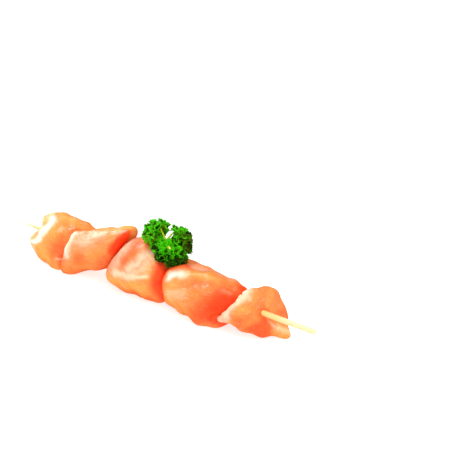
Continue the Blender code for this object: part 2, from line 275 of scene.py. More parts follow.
meatLook = {
    "flesh": (0.93, 0.260, 0.046, 1),
    "blush": (0.94, 0.203, 0.037, 1),
    # gold: partly the meat's own tone, partly painted light on the sides turned to the key light
    "goldAndLit": (0.94, 0.380, 0.070, 1),
    "pink": (0.95, 0.360, 0.225, 1),
    # painted shade: red for the creases between chunks, the cut faces, round the stick and the sides away
    # from the light
    "redShade": (0.98, 0.040, 0.002, 1),
    # cream: the pale rims and threads, and in part painted sheen on shoulders that face the light
    "creamAndSheen": (0.98, 0.680, 0.450, 1),
    # painted highlight: near-white on the shoulders that catch the key light
    "paintedShine": (1.00, 0.930, 0.780, 1),
    "roughness": (0.32, 0.48),
    "coat": 0.32,
    "dullness": 0.90,  # how much less of the coat's shine there is on the painted red shade and on gold meat
    "bump": (0.55, 0.00022),
    "sockets": {
        "Specular IOR Level": 0.20,
        "Coat Roughness": 0.26,
        "Subsurface Weight": 0.20,  # how much light spreads inside
        "Subsurface Scale": 0.0030,
        "Subsurface Radius": (1.0, 0.34, 0.16),
    },
}


# Flesh with fine fibres: pink, gold that is partly painted light, red that is painted shade, cream that is
# partly painted sheen and a near-white painted highlight come from the piece's own values, and the fibres
# follow its grain, in millimetres.
def makeMeatLook():
    look, tree, shader = newLook("rawChicken")
    grain = attribute(tree, "grain", "Vector")
    bundles = useGroup(tree, streaksGroup, grain, Length=14.0, Width=1.9, Wander=0.5)
    strands = useGroup(tree, streaksGroup, grain, Length=7.0, Width=0.42, Wander=0.3)
    patches = useGroup(tree, patchesGroup, grain, Size=6.0, Detail=2.0)["Patches"]
    specks = useGroup(tree, patchesGroup, grain, Size=0.9, Detail=3.0)["Patches"]
    creamAndSheen = attribute(tree, "creamAndSheen")
    colour = blendColour(tree, patches, meatLook["flesh"], meatLook["blush"])
    colour = blendColour(tree, attribute(tree, "goldAndLit"), colour, meatLook["goldAndLit"])
    colour = blendColour(tree, attribute(tree, "pink"), colour, meatLook["pink"])
    colour = blendColour(tree, attribute(tree, "redShade"), colour, meatLook["redShade"])
    # Cream, which is partly painted sheen, breaks up into strands at its edges.
    frayed = plus(tree, creamAndSheen, times(tree, strands["Streaks"], 0.30))
    frayed = plus(tree, frayed, times(tree, bundles["Streaks"], 0.25))
    creamAndSheenShare = times(tree, creamAndSheen, remap(tree, frayed, 0.22, 0.92), clamp=True)
    colour = blendColour(tree, creamAndSheenShare, colour, meatLook["creamAndSheen"])
    # Thin pale threads between the bundles, except where red shade is painted.
    threads = times(tree, bundles["Lines"], times(tree, strands["Streaks"], 0.32))
    threads = times(tree, threads, minus(tree, 1.0, attribute(tree, "redShade")))
    colour = blendColour(tree, threads, colour, meatLook["creamAndSheen"])
    # Painted highlight: a near-white laid on the shoulders that face the key light.
    colour = blendColour(tree, attribute(tree, "paintedShine"), colour, meatLook["paintedShine"])
    plug(tree, shader.inputs["Base Color"], colour)
    height = times(tree, strands["Streaks"], 0.5)
    height = plus(tree, height, times(tree, specks, 0.35))
    height = minus(tree, height, times(tree, bundles["Lines"], 0.5))
    finishSurface(tree, shader, meatLook, specks, height)
    toned = compute(tree, "MAXIMUM", attribute(tree, "redShade"), attribute(tree, "goldAndLit"))
    dull = times(tree, toned, meatLook["coat"] * meatLook["dullness"])
    plug(tree, shader.inputs["Coat Weight"], minus(tree, meatLook["coat"], dull, clamp=True))
    setSockets(shader, meatLook["sockets"])
    return look


meat = {
    "rows": 216,  # of points from one end of a chunk over its skin to the other
    "around": 264,
    "wallRows": 3,
    "skinShare": 0.11,  # moves rows from the ends to the skin
    "endFlatness": 4.0,
    "sectionPower": 2.35,
    "domeRadius": 13.0,
    "gap": 0.10,  # between chunks, which all but touch
    "grip": 0.04,  # how far the meat reaches into the stick
    "outlineSearch": (0.9, 1.5, 26),  # from, to, how often the range is halved
    "firstRadius": 12.0,  # where the search for a point's radius starts
    "pointSteps": 4,
    "reachSteps": (7, 0.6),  # how many, and how far each goes
    "stickShade": (0.6, 2.2),  # strength and depth of the painted red shade round the stick
    "cutShade": 0.22,  # over which share of fullness a cut face's red fades
    "cutNoise": ((4.2, 0.30, 21), (1.5, 0.10, 22)),
    "toneWander": ((3.4, 0.9, 31), (1.3, 0.4, 32)),
    "toneTurn": ((3.8, 5, 33),),
    "dents": ((6.0, 0.15, 51), (2.6, 0.06, 52)),
    "bundles": ((15, 2.2, 2.2), 0.17),  # size of a bundle of fibres, and its height
    "grooves": (0.15, 0.09),
    "strands": ((8, 0.85, 0.85), 0.07),
    "fibreBend": (11, 1.6),  # how long the bends in the fibres are, and how far they go
    "stringiness": (0.55, 0.75),  # of plain meat, and how much more of cream meat, whose tone is partly painted sheen
    "reliefFrom": (0.3, 0.8),  # the fullness at which the skin's relief starts and is whole
    "frays": (0.5, 0.30, 1.2),  # height, size, and reach from a cut
    # waves round the meat, waves in 100 mm along it, height
    "lumps": ((2, 3.1, 0.45), (3, -5.3, 0.40), (5, 7.9, 0.30), (7, -11.7, 0.18)),
    "degreeLength": 0.22,  # millimetres of skin to a degree
}

# The cuts between chunks, from the pointed end: x = at + yLean * y + zLean * z, domed at the stick. Where
# a cut is pressed, the chunks at it are squarer: angle, width, how much. Pulls draw a part of a cut towards
# the pointed end: angle, spread below it and above it, reach, from and to which radius.
cuts = (
    {
        "at": -79.0, "yLean": 0.07, "zLean": 0.28, "dome": -2.5, "pressed": (200, 90, 3),
        "pulls": ((112, 20, 20, 2.2, 5.0, 11.0), (142, 17, 17, -4.0, 4.0, 10.0)),
    },
    {
        "at": -51.5, "yLean": 0.40, "zLean": 0.32, "dome": 0.0, "pressed": (242, 26, 7),
        "pulls": ((120, 25, 24, 4.4, 6.0, 12.0), (176, 30, 34, 0.4, 8.5, 12.0)),
    },
    {"at": -26.5, "yLean": -0.12, "zLean": 0.70, "dome": 0.0, "pressed": (270, 20, 0), "pulls": ()},
    {"at": 10.5, "yLean": -0.05, "zLean": -0.06, "dome": 2.0, "pressed": (245, 25, 4), "pulls": ()},
    {
        "at": 57.5, "yLean": -0.10, "zLean": 0.30, "dome": -1.0, "pressed": (270, 20, 0),
        "pulls": ((231, 62, 8, 10.0, 5.0, 10.5),),
    },
    {
        "at": 68.5, "yLean": 0.48, "zLean": -0.36, "dome": 1.5, "pressed": (305, 40, 6),
        "pulls": ((304, 22, 26, -3.2, 7.0, 14.0),),
    },
)

# Each chunk: its node, how square its shoulders are, how far it reaches back, up, to the front and down at
# its left end, middle and right end, which way its fibres run (turn about Z, then tilt), how stringy it is,
# and how much painted red shade its cut faces get inside. Its folds: share along, angle, height, length,
# width, slant. A ridge is a raised line: its points (place along the stick, angle), width, height. A rim of
# tone follows an end: tone, side, angle, spread, full depth, fading depth, strength. A stroke is a soft line
# of tone: tone, its points, width, strength, and where the strength is negative it takes the tone away. The
# red rims and strokes are painted shade in the creases and on the parts turned away from the light, the gold
# is partly painted light, the cream partly painted sheen, and the near-white tone painted highlight.
chunks = (
    {
        "node": "chunk_1",
        "shoulders": (4.5, 2.6),
        "left": (11.5, 12.8, 13.5, 11.5),
        "middle": (12.5, 10.6, 12.5, 16.4),
        "right": (11.5, 11.2, 13.0, 18.0),
        "fibres": (12, -28),
        "stringy": 0.35,
        "inside": (0.0, 0.40),
        "folds": (
            (0.03, 150, 1.5, 0.07, 70, 0.0),
            (0.26, 150, -0.7, 0.12, 50, 0.0),
            (0.12, 65, 1.4, 0.14, 30, 0.0),
            (0.70, 65, -1.9, 0.22, 35, 0.0),
            (0.55, 178, -0.8, 0.22, 26, 0.0),
            (1.00, 228, 1.2, 0.30, 26, 0.0),
            (0.30, 240, 1.0, 0.22, 34, 0.0),
            (0.45, 20, 1.6, 0.18, 30, 0.2),
        ),
        "ridges": (
            (((-73, 92), (-68.8, 113), (-68.8, 134), (-70, 148), (-73.4, 167), (-76.5, 182)), 1.5, 0.80),
        ),
        "rims": (
            ("creamAndSheen", "left", 150, 90, 1.0, 1.6, 0.70),
            ("goldAndLit", "left", 150, 90, 9.0, 6.0, 0.85),
            ("goldAndLit", "left", 100, 40, 13.5, 6.0, 0.70),
            ("redShade", "right", 166, 28, 2.0, 5.0, 0.38),
            ("redShade", "right", 30, 50, 1.0, 3.5, 0.60),
        ),
        "strokes": (
            (
                "paintedShine", ((-71, 107), (-68.8, 115), (-68.6, 134), (-69.9, 148), (-73.2, 167), (-76.2, 181)),
                1.3, 1.0,
            ),
            (
                "creamAndSheen", ((-71.8, 96), (-68.2, 113), (-68.2, 134), (-69.4, 148), (-72.8, 167), (-76, 186)),
                2.4, 0.56,
            ),
            ("creamAndSheen", ((-79.6, 172), (-79.4, 186), (-77.4, 202)), 1.8, 0.62),
            ("redShade", ((-60.5, 184), (-58.5, 172), (-57, 152)), 4.6, 0.45),
            ("redShade", ((-62, 104), (-53, 110)), 3.4, 0.22),
            ("redShade", ((-54, 150), (-48, 118), (-43, 98)), 3.4, -0.85),
            ("creamAndSheen", ((-60, 211), (-55, 219)), 1.2, 0.60),
            ("goldAndLit", ((-76, 205), (-68, 222), (-58, 240)), 4.0, 0.75),
            ("creamAndSheen", ((-70, 20), (-62, 60)), 2.2, 0.45),
            ("pink", ((-66, 330), (-60, 350)), 4.0, 0.5),
            ("creamAndSheen", ((-72, 300), (-62, 320)), 1.6, 0.4),
        ),
    },
    {
        "node": "chunk_2",
        "shoulders": (3.4, 3.1),
        "left": (8.0, 9.8, 12.5, 17.5),
        "middle": (11.5, 13.5, 11.5, 11.0),
        "right": (13.0, 24.5, 10.0, 7.5),
        "fibres": (8, 24),
        "stringy": 0.75,
        "inside": (0.25, 0.35),
        "folds": (
            (0.05, 165, 1.5, 0.12, 50, 0.0),
            (0.20, 232, 3.0, 0.32, 28, 0.0),
            (0.14, 112, 1.5, 0.22, 26, 0.0),
            (0.45, 150, 1.0, 0.16, 45, 0.0),
            (0.50, 66, 1.7, 0.36, 30, 0.0),
            (0.60, 350, 1.5, 0.20, 28, 0.1),
        ),
        "ridges": ((((-50, 128), (-53, 145), (-54, 165), (-54, 190)), 1.6, 0.35),),
        "rims": (
            ("creamAndSheen", "left", 156, 42, 4.8, 2.8, 0.86),
            ("goldAndLit", "left", 104, 32, 2.0, 2.0, 0.80),
            ("creamAndSheen", "left", 30, 40, 0.8, 1.6, 0.6),
            ("redShade", "right", 118, 32, 3.2, 3.2, 1.0),
            ("redShade", "right", 168, 40, 2.0, 4.0, 0.60),
            ("redShade", "right", 20, 60, 1.0, 3.0, 0.7),
        ),
        "strokes": (
            ("paintedShine", ((-50, 138), (-52, 150), (-52.5, 170), (-52.5, 186)), 1.6, 0.55),
            ("creamAndSheen", ((-48, 144), (-41, 137), (-36, 127), (-33, 114)), 3.4, 0.50),
            ("pink", ((-48, 152), (-38, 136), (-31, 114)), 4.6, 0.46),
            ("goldAndLit", ((-42, 160), (-34, 148), (-30, 150)), 5.0, 0.40),
            ("goldAndLit", ((-35, 112), (-32, 101), (-29, 96)), 3.0, 0.60),
            ("goldAndLit", ((-36, 94), (-28, 88), (-19, 84)), 2.6, 0.95),
            ("redShade", ((-27, 84), (-21, 82), (-16, 82)), 2.1, -0.95),
            ("redShade", ((-20, 148), (-24, 170), (-27, 195)), 3.0, -0.60),
            ("goldAndLit", ((-47, 178), (-44, 165)), 2.6, 0.60),
            ("redShade", ((-44, 192), (-42, 176)), 3.6, 0.42),
            ("redShade", ((-52, 232), (-46, 230)), 3.4, 0.12),
            ("creamAndSheen", ((-44, 10), (-30, 40)), 2.0, 0.5),
            ("pink", ((-40, 320), (-28, 340)), 4.0, 0.5),
        ),
    },
    {
        "node": "chunk_3",
        "shoulders": (4.4, 2.4),
        "left": (12.0, 17.8, 12.0, 12.5),
        "middle": (12.5, 14.2, 12.5, 15.0),
        "right": (12.5, 13.5, 11.2, 14.4),
        "fibres": (-6, -38),
        "stringy": 1.0,
        "inside": (0.0, 0.85),
        "folds": (
            (0.32, 135, -1.4, 0.22, 30, 0.12),
            (0.50, 188, 1.4, 0.36, 22, 0.0),
            (0.10, 160, 1.2, 0.08, 40, 0.08),
            (0.58, 122, 1.0, 0.10, 30, 0.18),
            (0.55, 15, -1.6, 0.12, 50, 0.2),
            (0.00, 236, -2.4, 0.16, 26, 0.0),
            (0.80, 236, -1.0, 0.24, 26, 0.0),
        ),
        "ridges": (
            (((-15, 182), (-6, 178), (1, 170), (4, 158)), 1.5, 0.35),
            (((2, 112), (-3, 134), (-8, 160)), 2.0, 0.30),
        ),
        "rims": (
            ("pink", "left", 135, 60, 4.5, 3.0, 0.75),
            ("redShade", "right", 155, 70, 0.8, 2.7, 0.95),
            ("redShade", "right", 30, 50, 1.0, 3.0, 0.7),
            ("redShade", "left", 225, 22, 1.0, 3.0, 0.5),
        ),
        "strokes": (
            ("pink", ((-12.5, 116), (-15, 135), (-16.2, 152), (-16.8, 170)), 3.6, 0.85),
            ("creamAndSheen", ((-13, 122), (-14.8, 140), (-15.8, 162)), 3.0, 0.36),
            ("redShade", ((-7, 98), (-9.0, 118), (-10.6, 148)), 2.8, 0.48),
            ("pink", ((0, 112), (-4, 140), (-8.5, 162)), 3.0, 0.6),
            ("creamAndSheen", ((3.4, 128), (1.4, 146), (-3, 168)), 3.8, 0.60),
            ("creamAndSheen", ((2.2, 113), (-0.8, 127), (-3.4, 141), (-7, 162)), 2.8, 0.72),
            ("creamAndSheen", ((-15.5, 181), (-8, 178), (0, 172), (3.4, 163)), 2.4, 0.84),
            ("goldAndLit", ((5.2, 122), (5.3, 148), (3.6, 172)), 3.0, 0.90),
            ("creamAndSheen", ((4.0, 128), (4.2, 152)), 2.0, 0.20),
            ("goldAndLit", ((-22, 198), (-10, 202), (4, 200)), 3.4, 0.80),
            ("redShade", ((-12, 240), (4, 232)), 2.4, 0.45),
            ("creamAndSheen", ((-8, 350), (4, 30)), 1.8, 0.5),
            ("goldAndLit", ((-20, 330), (-8, 345)), 3.5, 0.5),
            ("creamAndSheen", ((-14, 60), (-18, 10)), 1.8, 0.5),
        ),
    },
    {
        "node": "chunk_4",
        "shoulders": (3.0, 2.4),
        "left": (13.0, 12.0, 12.6, 13.8),
        "middle": (11.0, 10.0, 13.2, 14.8),
        "right": (10.5, 10.0, 12.0, 14.0),
        "fibres": (4, 14),
        "stringy": 0.35,
        "inside": (0.75, 0.85),
        "folds": (
            (0.22, 62, 1.7, 0.18, 22, 0.0),
            (0.44, 62, -1.0, 0.10, 24, 0.0),
            (0.20, 88, -0.3, 0.14, 14, -0.10),
            (0.22, 116, 0.8, 0.20, 22, -0.30),
            (0.78, 232, 2.0, 0.20, 22, 0.0),
            (0.30, 236, -1.0, 0.20, 24, 0.0),
            (0.45, 170, 0.9, 0.30, 40, 0.0),
            (0.40, 340, 1.4, 0.15, 35, 0.2),
        ),
        "ridges": (),
        "rims": (
            ("goldAndLit", "left", 180, 50, 8.0, 9.0, 0.60),
            ("redShade", "right", 160, 70, 5.0, 9.0, 0.94),
            ("redShade", "right", 100, 50, 1.8, 4.0, 0.7),
            ("redShade", "right", 30, 60, 2.0, 4.0, 0.6),
        ),
        "strokes": (
            ("paintedShine", ((18.4, 143), (20.5, 137), (24.5, 129)), 1.7, 0.95),
            ("creamAndSheen", ((18.2, 144), (21, 137), (27, 126)), 2.8, 0.85),
            ("goldAndLit", ((26, 124), (32, 112), (42, 104)), 3.0, 0.75),
            ("creamAndSheen", ((26, 126), (31, 114), (37, 106)), 1.4, 0.40),
            ("redShade", ((14.5, 124), (20, 110), (23.5, 102)), 2.4, 0.85),
            ("pink", ((24, 92), (31, 82)), 2.8, 0.70),
            ("creamAndSheen", ((25, 92), (33, 80)), 2.6, 0.30),
            ("redShade", ((36, 142), (44, 126)), 4.0, 0.32),
            ("creamAndSheen", ((22, 180), (30, 172)), 4.4, 0.46),
            ("goldAndLit", ((20, 190), (30, 200)), 4.0, 0.5),
            ("redShade", ((45, 184), (50, 172), (55, 150), (55, 120)), 4.6, 0.86),
            ("redShade", ((50.6, 132), (53.0, 130)), 1.5, -0.34),
            ("redShade", ((46, 112), (54, 106)), 3.0, -0.35),
            ("pink", ((50.6, 132), (53.0, 130)), 1.5, 0.50),
            ("creamAndSheen", ((40, 230), (44, 232)), 2.2, 0.15),
            ("creamAndSheen", ((24, 20), (40, 0)), 1.8, 0.5),
            ("pink", ((36, 60), (48, 40)), 4.0, 0.6),
        ),
    },
    {
        "node": "chunk_5",
        "shoulders": (4.4, 4.4),
        "left": (9.0, 7.8, 10.0, 8.8),
        "middle": (12.0, 10.6, 11.0, 11.2),
        "right": (13.5, 12.0, 10.5, 11.6),
        "fibres": (20, 30),
        "stringy": 0.75,
        "inside": (0.50, 0.0),
        "folds": (
            (0.05, 165, 0.8, 0.12, 60, 0.0),
            (0.00, 221, 3.2, 0.35, 13, 0.0),
            (0.95, 303, 4.6, 0.40, 16, 0.0),
            (0.40, 240, -2.0, 0.34, 22, 0.0),
            (0.95, 273, 1.8, 0.30, 15, 0.0),
            (0.95, 322, -0.9, 0.40, 9, 0.0),
            (0.95, 346, 0.4, 0.40, 14, 0.0),
            (0.60, 70, -0.7, 0.40, 34, 0.0),
        ),
        "ridges": (),
        "rims": (
            ("creamAndSheen", "left", 165, 72, 2.8, 2.6, 0.88),
            ("creamAndSheen", "left", 30, 50, 0.8, 1.8, 0.5),
        ),
        "strokes": (
            ("paintedShine", ((61.5, 110), (60.0, 124)), 2.0, 0.45),
            ("paintedShine", ((52, 216), (55.5, 196), (57, 178)), 1.5, 0.30),
            ("creamAndSheen", ((61, 104), (60.5, 126), (58.5, 148)), 2.8, 0.60),
            ("goldAndLit", ((62, 176), (64, 160)), 2.2, 0.55),
            ("creamAndSheen", ((49, 226), (56, 216)), 2.0, 0.85),
            ("redShade", ((64, 205), (63, 185)), 3.4, 0.40),
            ("redShade", ((67, 222), (70, 240), (71.5, 268), (72.5, 292)), 3.4, 0.70),
            ("redShade", ((73, 356), (75, 338)), 2.4, 0.45),
            ("redShade", ((68, 90), (70, 50), (72, 20)), 3.4, 0.20),
            ("goldAndLit", ((69.5, 54), (70.5, 44)), 1.6, 0.50),
            ("goldAndLit", ((74, 288), (77, 304)), 2.8, 0.85),
            ("creamAndSheen", ((74, 292), (77, 306)), 2.2, 0.55),
        ),
    },
)


# How far a pull draws a cut back towards the pointed end.
def pullReach(pull, radius, angle):
    middle, before, after, reach, fromRadius, toRadius = pull
    way = turnFrom(middle, angle)
    return reach * bell(way, 0, np.where(way < 0, before, after)) * smoothStep(radius, fromRadius, toRadius)


# Where a cut lies along the stick, with the slight unevenness of a knife cut through soft meat. Both chunks
# at a cut use it, so they never cross.
def cutPlace(index, radius, angle):
    cut = cuts[index]
    turn = np.radians(angle)
    y, z = radius * np.cos(turn), radius * np.sin(turn)
    x = cut["at"] + cut["yLean"] * y + cut["zLean"] * z
    x = x + cut["dome"] * np.clip(1 - (radius / meat["domeRadius"]) ** 2, 0, 1)
    for pull in cut["pulls"]:
        x = x - pullReach(pull, radius, angle)
    place = np.stack([np.full(y.shape, 9.0 * index), y, z], axis=-1)
    return x + layeredNoise(place, meat["cutNoise"])


# How square a chunk is at the end that a share of its length is nearer to, more so where it is pressed.
def shoulderPower(index, share, angle):
    powers = []
    for shoulder, cut in zip(chunks[index]["shoulders"], cuts[index : index + 2]):
        middle, width, extra = cut["pressed"]
        powers.append(shoulder + extra * bell(turnFrom(middle, angle), 0, width))
    return np.where(share < 0.5, *powers)


# A point on the rounded outline |along|^power + outward^endFlatness = 1, by halving the range that it is in.
def roundOver(index, way, angle):
    along, outward = np.cos(way), np.sin(way)
    power = shoulderPower(index, (1 - along) / 2, angle)
    shortest, longest, halvings = meat["outlineSearch"]
    low, high = np.full(power.shape, shortest), np.full(power.shape, longest)
    for _ in range(halvings):
        reach = (low + high) / 2
        inside = np.abs(reach * along) ** power + (reach * outward) ** meat["endFlatness"] < 1
        low, high = np.where(inside, reach, low), np.where(inside, high, reach)
    return (1 - low * along) / 2, np.maximum(low * outward, 0)


# A section of four quarter curves |y/across|^p + |z/height|^p = 1.
def sectionRadius(angle, reaches):
    back, up, front, down = reaches
    turn = np.radians(angle)
    y, z = np.cos(turn), np.sin(turn)
    across, height = np.where(y > 0, back, front), np.where(z > 0, up, down)
    power = meat["sectionPower"]
    return (np.abs(y / across) ** power + np.abs(z / height) ** power) ** (-1 / power)


# The skin's radius: a curve through the three sections, plus folds and slow lumps.
def skinRadius(chunk, x, share, angle):
    left, middle, right = (sectionRadius(angle, chunk[key]) for key in ("left", "middle", "right"))
    radius = left * (1 - share) * (1 - 2 * share) + middle * 4 * share * (1 - share)
    radius = radius + right * share * (2 * share - 1)
    for along, foldAngle, height, length, width, slant in chunk["folds"]:
        way = turnFrom(foldAngle, angle) / width
        radius = radius + height * np.exp(-(((share - along - slant * way) / length) ** 2) - way**2)
    for number, (roundWaves, longWaves, height) in enumerate(meat["lumps"]):
        start = 2 * math.pi * goldenShare * (number + 1)
        radius = radius + height * np.cos(np.radians(roundWaves * angle + 3.6 * longWaves * x) + start)
    return radius


# Cuts the radius where the meat lies flat on the table.
def onTable(radius, angle):
    down = -np.sin(np.radians(angle))
    return np.where(down > 0, np.minimum(radius, stickHeight / np.maximum(down, 1e-6)), radius)


# Where a chunk starts and ends along the stick.
def chunkEnds(index, radius, angle):
    half = meat["gap"] / 2
    return cutPlace(index, radius, angle) + half, cutPlace(index + 1, radius, angle) - half


# A chunk's points: share runs along it, fullness from the stick's hole (0) to its skin (1), and relief is
# added to the skin. Gives the points round the stick's axis and how far each is from both cuts.
def chunkPoints(index, share, fullness, angle, relief=0.0):
    chunk = chunks[index]
    hole = stickRadius - meat["grip"]
    radius = np.full(share.shape, meat["firstRadius"])
    for _ in range(meat["pointSteps"]):
        x = mix(*chunkEnds(index, radius, angle), share)
        radius = onTable(mix(hole, skinRadius(chunk, x, share, angle) + relief, fullness), angle)
    left, right = chunkEnds(index, radius, angle)
    x = mix(left, right, share)
    turn = np.radians(angle)
    points = np.stack([x, radius * np.cos(turn), radius * np.sin(turn)], axis=-1)
    return points, radius, x - left, right - x


# How far places on the skin are from a line of points (place along the stick, angle).
def lineAway(line, x, angle):
    nearest = np.full(x.shape, 99.0)
    for (startX, startAngle), (endX, endAngle) in itertools.pairwise(line):
        along, around = x - startX, meat["degreeLength"] * turnFrom(startAngle, angle)
        stepAlong, stepAround = endX - startX, meat["degreeLength"] * turnFrom(startAngle, endAngle)
        share = np.clip((along * stepAlong + around * stepAround) / (stepAlong**2 + stepAround**2), 0, 1)
        nearest = np.minimum(nearest, np.hypot(along - share * stepAlong, around - share * stepAround))
    return nearest


# The strength of each tone: rims fade with the distance from an end, strokes with the distance from a line.
# The faces inside a cut get painted red shade, and so does the meat round the stick.
def toneValues(index, points, radius, angle, share, fullness, fromLeft, fromRight):
    chunk = chunks[index]
    wander = layeredNoise(points, meat["toneWander"])
    x = points[..., 0] + wander
    turned = angle + layeredNoise(points, meat["toneTurn"])
    values = {tone: np.zeros(x.shape) for tone in ("redShade", "creamAndSheen", "goldAndLit", "pink", "paintedShine")}
    # Painted red shade on the faces inside the cuts and round the stick's hole.
    values["redShade"] = smoothStep(0.98 - fullness, 0, meat["cutShade"]) * np.where(share < 0.5, *chunk["inside"])
    strength, depth = meat["stickShade"]
    values["redShade"] = np.maximum(values["redShade"], strength * bell(radius, stickRadius, depth))
    for tone, side, middle, spread, full, fading, strength in chunk["rims"]:
        away = fromLeft if side == "left" else fromRight
        beyond = np.maximum(away + wander - full, 0) / fading
        value = strength * np.exp(-(beyond**2) - (turnFrom(middle, turned) / spread) ** 4)
        values[tone] = np.maximum(values[tone], value)
    for tone, line, width, strength in chunk["strokes"]:
        value = abs(strength) * bell(lineAway(line, x, turned), 0, width)
        values[tone] = np.maximum(values[tone], value) if strength > 0 else values[tone] * (1 - value)
    return values


# Places turned into a chunk's own grain: the first axis runs along its fibres.
def grainPlaces(chunk, points):
    turn, tilt = (math.radians(value) for value in chunk["fibres"])
    along = np.array([math.cos(turn) * math.cos(tilt), math.sin(turn) * math.cos(tilt), math.sin(tilt)])
    beside = np.array([-math.sin(turn), math.cos(turn), 0])
    length, height = meat["fibreBend"]
    bent = points + height * np.stack([softNoise(points, length, seed) for seed in (41, 42, 43)], axis=-1)
    return np.stack([bent @ along, bent @ beside, bent @ np.cross(along, beside)], axis=-1)


# Relief of the skin: soft dents, bundles of fibres with thin grooves between them, and finer strands.
def fleshRelief(points, grain, stringy):
    (bundleSize, bundleHeight), (strandSize, strandHeight) = meat["bundles"], meat["strands"]
    grooveDepth, grooveWidth = meat["grooves"]
    bundles = softNoise(grain, bundleSize, 53)
    relief = bundleHeight * bundles - grooveDepth * bell(bundles, 0, grooveWidth)
    relief = relief + strandHeight * softNoise(grain, strandSize, 54)
    return layeredNoise(points, meat["dents"]) + stringy * relief


def makeChunk(index, look):
    chunk = chunks[index]
    angle = np.arange(meat["around"])[None, :] * 360 / meat["around"]
    share = np.linspace(0, 1, meat["rows"])[:, None]
    way = math.pi * share + meat["skinShare"] * np.sin(2 * math.pi * share)
    share, fullness = roundOver(index, way, angle)
    wall = np.linspace(1, 0, meat["wallRows"] + 2)[1:-1, None] + 0 * angle
    share, fullness = np.concatenate([share, wall]), np.concatenate([fullness, 0 * wall])
    angle = np.broadcast_to(angle, share.shape)
    smooth, radius, fromLeft, fromRight = chunkPoints(index, share, fullness, angle)
    values = toneValues(index, smooth, radius, angle, share, fullness, fromLeft, fromRight)
    grain = grainPlaces(chunk, smooth)
    plain, more = meat["stringiness"]
    stringy = chunk["stringy"] * (plain + more * values["creamAndSheen"])
    relief = fleshRelief(smooth, grain, stringy) * smoothStep(fullness, *meat["reliefFrom"])
    for line, width, height in chunk["ridges"]:
        relief = relief + height * bell(lineAway(line, smooth[..., 0], angle), 0, width)
    # Torn strands make the pale rims ragged.
    height, size, reach = meat["frays"]
    frayed = height * softNoise(np.stack([0 * radius, 0.12 * angle, 0 * radius], axis=-1), size, 60 + index)
    relief = relief + frayed * values["creamAndSheen"] * bell(np.minimum(fromLeft, fromRight), 0, reach)
    points, radius, _, _ = chunkPoints(index, share, fullness, angle, relief)
    points[..., 2] += stickHeight
    values = {key: value[..., None] for key, value in values.items()}
    faces = gridFaces(len(share), meat["around"], closedRows=True, closedColumns=True)
    piece = makePiece("meat_%d" % (index + 1), points, faces, look, {**values, "grain": grain})
    settle(piece, chunk["node"])


# How far the smooth meat reaches from the stick's axis, at a place along it and an angle round it.
def meatReach(x, angle):
    widest = np.full(x.shape, stickRadius)
    steps, step = meat["reachSteps"]
    for index, chunk in enumerate(chunks):
        radius = np.full(x.shape, meat["firstRadius"])
        for _ in range(steps):
            left, right = cutPlace(index, radius, angle), cutPlace(index + 1, radius, angle)
            share = (x - left) / (right - left)
            inside = (share > 0) & (share < 1)
            share = np.clip(share, 0, 1)
            power = shoulderPower(index, share, angle)
            fullness = (1 - np.abs(2 * share - 1) ** power) ** (1 / meat["endFlatness"])
            found = onTable(mix(stickRadius, skinRadius(chunk, x, share, angle), fullness), angle)
            radius = mix(radius, found, step)
        widest = np.where(inside, np.maximum(widest, radius), widest)
    return widest


rawChicken = makeMeatLook()
for index in range(len(chunks)):
    makeChunk(index, rawChicken)
print("meat made:", len(chunks), "chunks")


# The stick

stick = {
    "around": 48,
    "along": 420,
    "pointLength": 18.0,
    "pointRadius": 0.16,
    "pointPower": 0.8,
    "chamfer": 0.22,
    "capRows": 6,
    "groove": 0.030,
    "grooveNoise": (((30, 0.45, 0.45), 1.0, 71), ((60, 1.1, 1.1), 0.5, 72)),
    "shadeReach": 11.0,  # how far the painted shade near the meat reaches along it
    "straw": (0.91, 0.71, 0.35, 1),
    "pale": (0.97, 0.86, 0.56, 1),
    "pore": (0.66, 0.42, 0.16, 1),
    # painted shade: darker, yellower straw beside the meat
    "nearMeatShade": (0.90, 0.55, 0.10, 1),
    "roughness": (0.38, 0.58),
    "bump": (0.5, 0.00006),
}


# Split bamboo: long pale and straw streaks, with short darker pores and a stretch of painted shade beside
# the meat.
def makeBambooLook():
    look, tree, shader = newLook("bamboo")
    place = attribute(tree, "place", "Vector")
    streaks = useGroup(tree, streaksGroup, place, Length=40.0, Width=0.30, Wander=0.1)
    pores = useGroup(tree, streaksGroup, place, Length=3.5, Width=0.11, Wander=0.1)
    patches = useGroup(tree, patchesGroup, place, Size=14.0, Detail=1.0)["Patches"]
    colour = blendColour(tree, streaks["Streaks"], stick["straw"], stick["pale"])
    poreShare = times(tree, remap(tree, pores["Streaks"], 0.72, 1.0), 0.55)
    colour = blendColour(tree, poreShare, colour, stick["pore"])
    # Painted shade: darker beside the meat, fading along the stick.
    nearMeatShade = times(tree, attribute(tree, "nearMeatShade"), remap(tree, patches, 0.0, 1.0, 0.6, 0.9))
    colour = blendColour(tree, nearMeatShade, colour, stick["nearMeatShade"])
    plug(tree, shader.inputs["Base Color"], colour)
    height = minus(tree, streaks["Streaks"], times(tree, pores["Streaks"], 0.4))
    finishSurface(tree, shader, stick, streaks["Streaks"], height)
    return look


